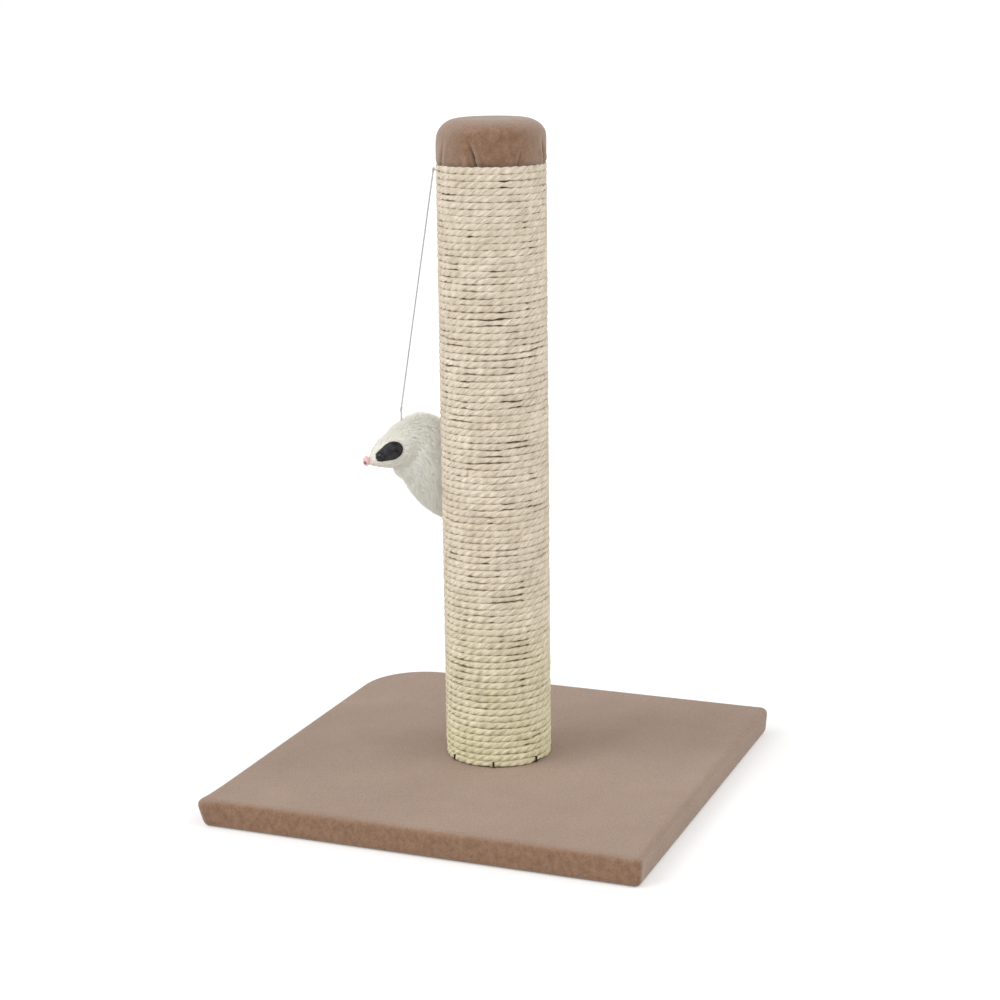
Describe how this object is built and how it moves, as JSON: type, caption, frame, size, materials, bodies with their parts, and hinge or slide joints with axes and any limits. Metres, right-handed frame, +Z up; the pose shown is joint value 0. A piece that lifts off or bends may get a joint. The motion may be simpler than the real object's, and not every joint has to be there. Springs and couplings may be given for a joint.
{
  "type": "cat scratching post",
  "caption": "Free-standing scratching post: sisal-wound upright with a plush cap on a square plush-covered base, with a furry toy mouse hanging on a string.",
  "frame": {"origin": "centre of the square base, on the floor it stands on", "axes": "+Z up along the post, +X to the right along the front edge, -Y towards the front edge; the widely rounded corner of the base is at -X +Y"},
  "size_m": [0.3038, 0.3038, 0.4549],
  "materials": {
    "plush_taupe": "short-pile plush",
    "chipboard": "raw chipboard",
    "staple_steel": "galvanised flat wire",
    "zinc_plated_steel": "bright zinc plate",
    "tube_board": "spiral-wound kraft board",
    "pine": "raw softwood",
    "sisal": "twisted sisal rope",
    "foam": "open-cell foam",
    "string_cotton": "twisted cotton string",
    "fur_white": "long-pile white fur",
    "moulded_core": "moulded, unpainted",
    "bead_black": "polished bead",
    "felt_black": "pressed felt",
    "nose_pink": "soft pink",
    "felt_tail": "pressed felt"
  },
  "bodies": {
    "post": {"base_board": "chipboard", "base_cover": "plush_taupe", "hem_staples": "staple_steel", "base_bolt": "zinc_plated_steel", "bolt_washer": "zinc_plated_steel", "tee_nut": "zinc_plated_steel", "post_tube": "tube_board", "bottom_plug": "pine", "top_plug": "pine", "plug_staples": "staple_steel", "sisal_winding": "sisal", "rope_staples": "staple_steel", "cap_pad": "foam", "cap_cover": "plush_taupe", "cap_staples": "staple_steel", "string_tail": "string_cotton"},
    "string_head": {"upper_knot": "string_cotton"},
    "string": {"toy_string": "string_cotton"},
    "string_foot": {"lower_knot": "string_cotton"},
    "mouse": {"mouse_core": "moulded_core", "mouse_pelt": "fur_white", "mouse_eyes": "bead_black", "mouse_ears": "felt_black", "mouse_nose": "nose_pink", "mouse_tie": "string_cotton", "mouse_tail": "felt_tail"}
  },
  "joints": [
    {"name": "string_swing_out", "type": "hinge", "parent": "post", "child": "string_head", "pos_m": [-0.03737, -0.00911, 0.42128], "axis": [0.4626, 0.8866, 0], "range_deg": [0, 80]},
    {"name": "string_swing_side", "type": "hinge", "parent": "string_head", "child": "string", "pos_m": [-0.03737, -0.00911, 0.42128], "axis": [-0.8618, 0.4497, 0.2347], "range_deg": [-20, 35]},
    {"name": "mouse_spin", "type": "hinge", "parent": "string", "child": "string_foot", "pos_m": [-0.07279, 0.00937, 0.2558], "axis": [0.2081, -0.1086, 0.9721], "range_deg": [0, 180]},
    {"name": "mouse_tilt", "type": "hinge", "parent": "string_foot", "child": "mouse", "pos_m": [-0.07279, 0.00937, 0.2558], "axis": [-0.878, 0.4787, 0], "range_deg": [-45, 30]}
  ]
}
